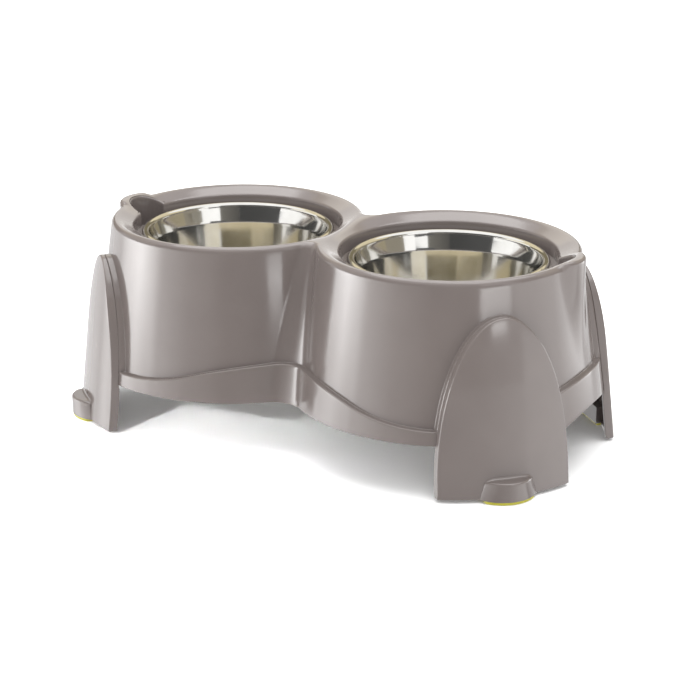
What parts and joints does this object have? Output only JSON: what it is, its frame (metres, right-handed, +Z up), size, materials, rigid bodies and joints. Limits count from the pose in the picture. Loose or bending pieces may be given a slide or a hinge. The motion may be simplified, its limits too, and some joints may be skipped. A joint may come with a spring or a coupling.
{
  "type": "double pet bowl",
  "caption": "Raised double pet bowl: two lift-out steel bowls hang in a figure-eight moulded stand on arched legs with rubber feet.",
  "frame": {"origin": "on the ground under the middle of the stand, halfway between the two bowls", "axes": "+X along the row of the two bowls, +Y towards the rear long side, +Z up"},
  "size_m": [0.5556, 0.3158, 0.206],
  "materials": {
    "stand_plastic": "glossy warm grey moulded plastic",
    "rubber": "matt lime rubber",
    "bowl_steel": "mirror-polished stainless steel",
    "screw_steel": "plain zinc-plated steel"
  },
  "bodies": {
    "stand": {"stand_body": "stand_plastic", "front_left_leg": "stand_plastic", "front_right_leg": "stand_plastic", "rear_left_leg": "stand_plastic", "rear_right_leg": "stand_plastic", "front_left_foot": "rubber", "front_right_foot": "rubber", "rear_left_foot": "rubber", "rear_right_foot": "rubber", "leg_screws": "screw_steel"},
    "left_bowl_body": {"left_bowl": "bowl_steel"},
    "right_bowl_body": {"right_bowl": "bowl_steel"}
  },
  "joints": [
    {"name": "left_bowl_lift", "type": "slide", "parent": "stand", "child": "left_bowl_body", "axis": [0, 0, 1], "range_m": [0, 0.1]},
    {"name": "right_bowl_lift", "type": "slide", "parent": "stand", "child": "right_bowl_body", "axis": [0, 0, 1], "range_m": [0, 0.1]}
  ]
}
